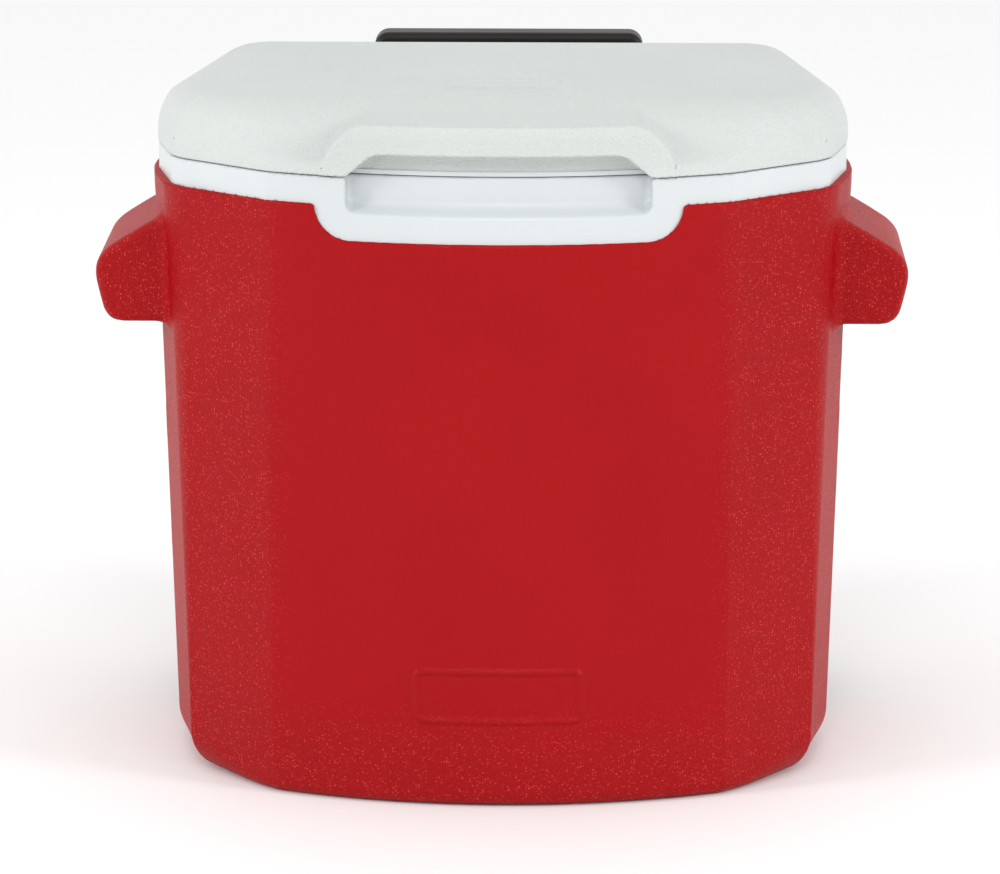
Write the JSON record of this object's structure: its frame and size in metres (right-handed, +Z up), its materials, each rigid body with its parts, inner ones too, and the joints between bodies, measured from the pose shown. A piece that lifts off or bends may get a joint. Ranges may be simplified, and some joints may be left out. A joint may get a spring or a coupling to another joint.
{
  "type": "wheeled cooler chest",
  "caption": "Upright insulated cooler chest with a hinged bevelled lid, moulded side lugs, rear wheels and a telescoping tow handle.",
  "frame": {"origin": "middle of the whole object's footprint, on the floor", "axes": "+X to the right seen from the front, +Y to the back where the tow handle is, +Z up"},
  "size_m": [0.48, 0.3335, 0.41],
  "materials": {
    "red_shell": "pebbled moulded plastic",
    "white_liner": "smooth moulded plastic",
    "lid_white": "finely pebbled moulded plastic",
    "foam": "rigid closed-cell foam",
    "black_plastic": "fine texture",
    "grip_black": "fine texture",
    "wheel_black": "moulded hard plastic",
    "tube_aluminium": "drawn, satin",
    "steel": "zinc plated"
  },
  "bodies": {
    "chest": {"outer_shell": "red_shell", "inner_liner": "white_liner", "body_insulation": "foam", "left_hinge_bracket": "black_plastic", "right_hinge_bracket": "black_plastic", "left_hinge_pin": "steel", "right_hinge_pin": "steel", "hinge_screws": "steel", "upper_handle_bracket": "black_plastic", "lower_handle_bracket": "black_plastic", "handle_bracket_screws": "steel", "left_outer_tube": "tube_aluminium", "right_outer_tube": "tube_aluminium", "left_tube_guide": "black_plastic", "right_tube_guide": "black_plastic", "axle": "steel", "left_axle_bush": "black_plastic", "right_axle_bush": "black_plastic", "left_washer": "steel", "right_washer": "steel", "left_push_nut": "steel", "right_push_nut": "steel"},
    "lid": {"lid_shell": "lid_white", "lid_liner": "white_liner", "lid_insulation": "foam"},
    "handle": {"left_inner_tube": "tube_aluminium", "right_inner_tube": "tube_aluminium", "left_stop_collar": "black_plastic", "right_stop_collar": "black_plastic", "handle_grip": "grip_black", "grip_screws": "steel"},
    "left_wheel": {"left_wheel": "wheel_black"},
    "right_wheel": {"right_wheel": "wheel_black"}
  },
  "joints": [
    {"name": "lid_hinge", "type": "hinge", "parent": "chest", "child": "lid", "pos_m": [0, 0.12, 0.393], "axis": [-1, 0, 0], "range_deg": [0, 92]},
    {"name": "handle_slide", "type": "slide", "parent": "chest", "child": "handle", "axis": [0, 0, 1], "range_m": [0, 0.262]},
    {"name": "left_wheel_spin", "type": "hinge", "parent": "chest", "child": "left_wheel", "pos_m": [-0.1645, 0.088, 0.0515], "axis": [1, 0, 0], "continuous": true},
    {"name": "right_wheel_spin", "type": "hinge", "parent": "chest", "child": "right_wheel", "pos_m": [0.1645, 0.088, 0.0515], "axis": [1, 0, 0], "continuous": true}
  ]
}
